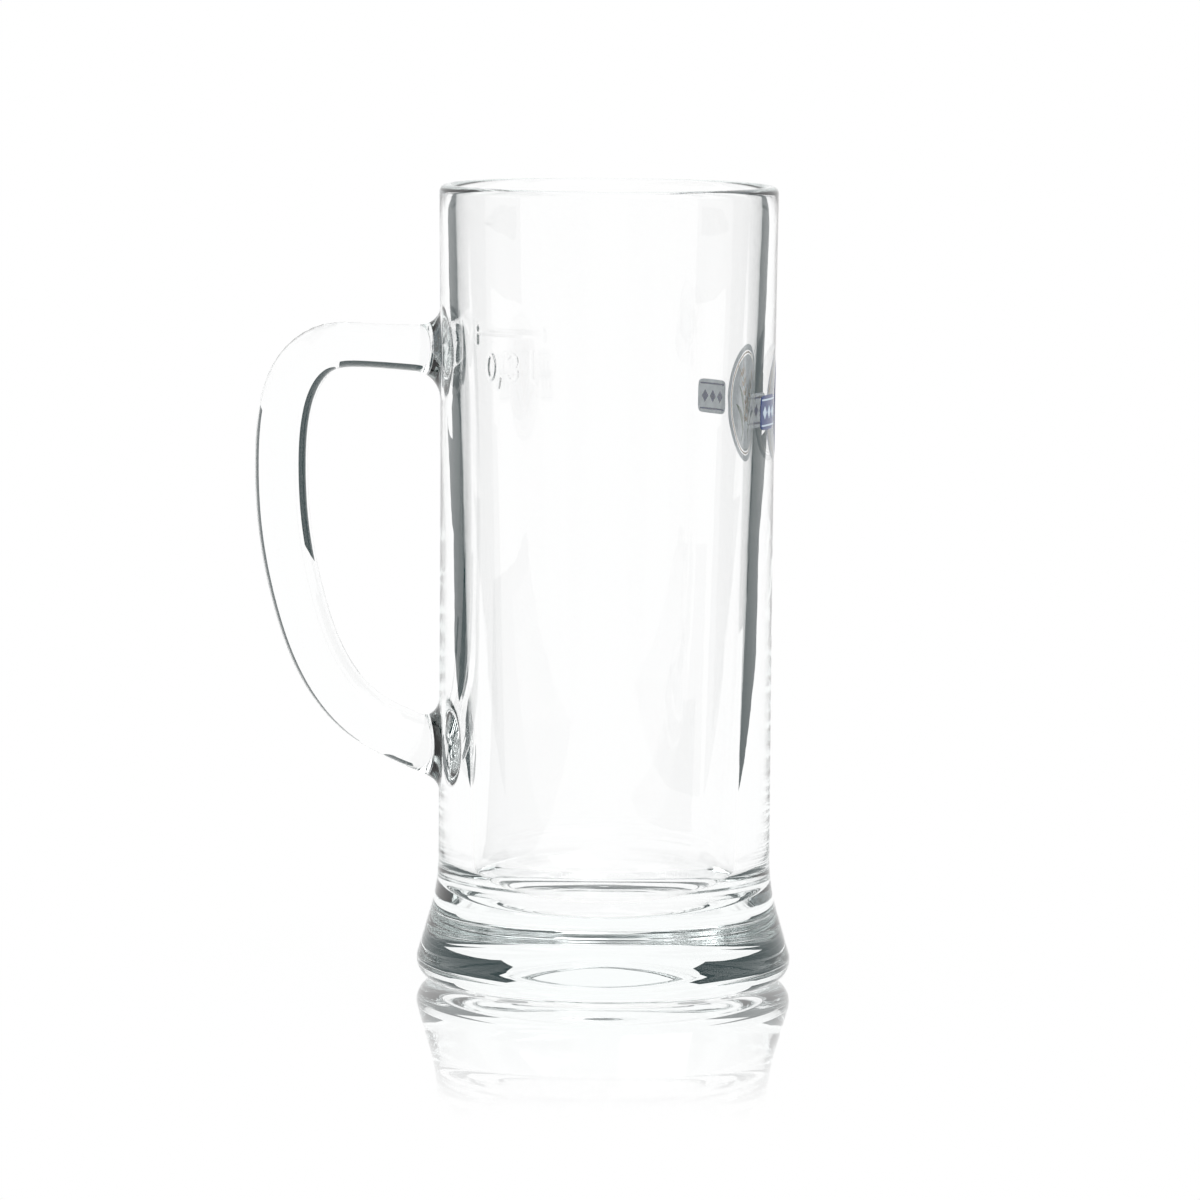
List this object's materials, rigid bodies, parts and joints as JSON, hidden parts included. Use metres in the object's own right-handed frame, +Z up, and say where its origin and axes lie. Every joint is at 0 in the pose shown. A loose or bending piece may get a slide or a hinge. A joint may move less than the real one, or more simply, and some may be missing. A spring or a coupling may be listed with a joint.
{
  "type": "beer mug",
  "caption": "Tall straight-sided clear glass beer mug on a heavy flared foot, with a D-shaped glass handle fused to its wall and a small fired enamel print.",
  "frame": {"origin": "middle of the mug's box, on the plane that its foot stands on; the mug's axis is 16.7 mm towards +X", "axes": "+Z up along the mug's axis, -X towards the handle, +Y across the handle's plane"},
  "size_m": [0.1096, 0.0762, 0.162],
  "materials": {
    "body_glass": "clear, fire polished",
    "handle_glass": "clear, fire polished",
    "grey_blue_enamel": "fired enamel, satin",
    "blue_enamel": "fired enamel, satin"
  },
  "bodies": {
    "root": {"glass_body": "body_glass", "handle": "handle_glass", "enamel_panel": "grey_blue_enamel", "enamel_bar_left": "blue_enamel", "enamel_bar_right": "blue_enamel"}
  },
  "joints": []
}
